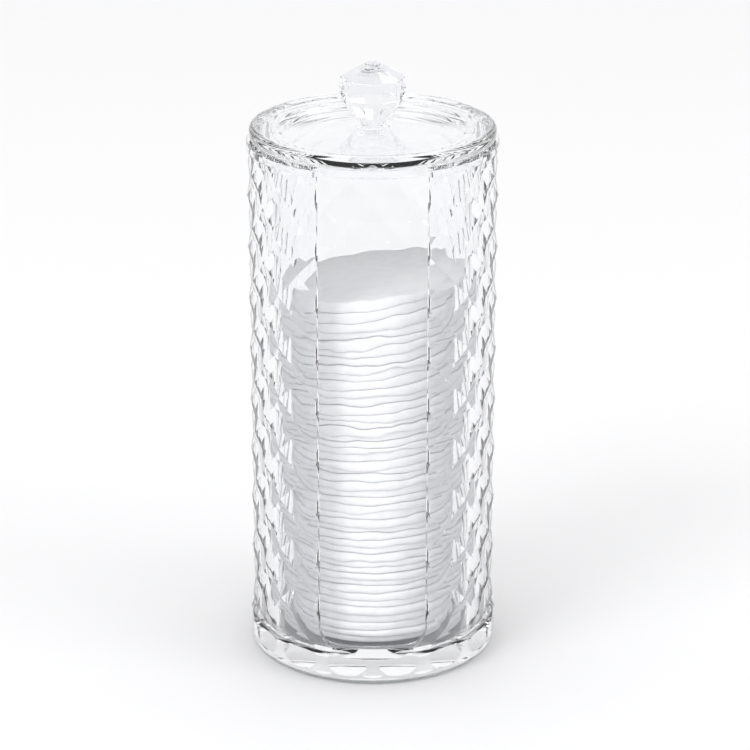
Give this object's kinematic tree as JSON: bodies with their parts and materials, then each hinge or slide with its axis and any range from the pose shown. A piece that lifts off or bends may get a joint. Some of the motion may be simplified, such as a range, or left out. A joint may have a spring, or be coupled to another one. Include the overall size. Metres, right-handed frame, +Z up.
{
  "type": "cotton pad dispenser",
  "caption": "Clear diamond-cut cylindrical dispenser with a front slot and a plug-in lid with a cut crystal knob, filled with round cotton pads.",
  "frame": {"origin": "on the table, at the centre of the container's base", "axes": "+Z up along the container's axis, the slot faces -Y, +X to the right as seen from the front"},
  "size_m": [0.076, 0.0759, 0.1836],
  "materials": {
    "clear_acrylic": "clear, polished",
    "cut_crystal": "clear, faceted, polished",
    "white_cotton": "soft, matte"
  },
  "bodies": {
    "container_body": {"container": "clear_acrylic"},
    "lid_body": {"lid": "clear_acrylic", "knob": "cut_crystal"},
    "pad_stack": {"cotton_pad_01": "white_cotton", "cotton_pad_02": "white_cotton", "cotton_pad_03": "white_cotton", "cotton_pad_04": "white_cotton", "cotton_pad_05": "white_cotton", "cotton_pad_06": "white_cotton", "cotton_pad_07": "white_cotton", "cotton_pad_08": "white_cotton", "cotton_pad_09": "white_cotton", "cotton_pad_10": "white_cotton", "cotton_pad_11": "white_cotton", "cotton_pad_12": "white_cotton", "cotton_pad_13": "white_cotton", "cotton_pad_14": "white_cotton", "cotton_pad_15": "white_cotton", "cotton_pad_16": "white_cotton", "cotton_pad_17": "white_cotton", "cotton_pad_18": "white_cotton", "cotton_pad_19": "white_cotton", "cotton_pad_20": "white_cotton", "cotton_pad_21": "white_cotton", "cotton_pad_22": "white_cotton", "cotton_pad_23": "white_cotton", "cotton_pad_24": "white_cotton", "cotton_pad_25": "white_cotton", "cotton_pad_26": "white_cotton", "cotton_pad_27": "white_cotton", "cotton_pad_28": "white_cotton", "cotton_pad_29": "white_cotton", "cotton_pad_30": "white_cotton", "cotton_pad_31": "white_cotton", "cotton_pad_32": "white_cotton", "cotton_pad_33": "white_cotton", "cotton_pad_34": "white_cotton", "cotton_pad_35": "white_cotton", "cotton_pad_36": "white_cotton", "cotton_pad_37": "white_cotton", "cotton_pad_38": "white_cotton", "cotton_pad_39": "white_cotton", "cotton_pad_40": "white_cotton", "cotton_pad_41": "white_cotton", "cotton_pad_42": "white_cotton", "cotton_pad_43": "white_cotton", "cotton_pad_44": "white_cotton", "cotton_pad_45": "white_cotton"},
    "top_pad": {"cotton_pad_46": "white_cotton"}
  },
  "joints": [
    {"name": "lid_lift", "type": "slide", "parent": "container_body", "child": "lid_body", "axis": [0, 0, 1], "range_m": [0, 0.06]},
    {"name": "stack_lift", "type": "slide", "parent": "container_body", "child": "pad_stack", "axis": [0, 0, 1], "range_m": [0, 0.015]},
    {"name": "top_pad_lift", "type": "slide", "parent": "pad_stack", "child": "top_pad", "axis": [0, 0, 1], "range_m": [0, 0.015]}
  ]
}
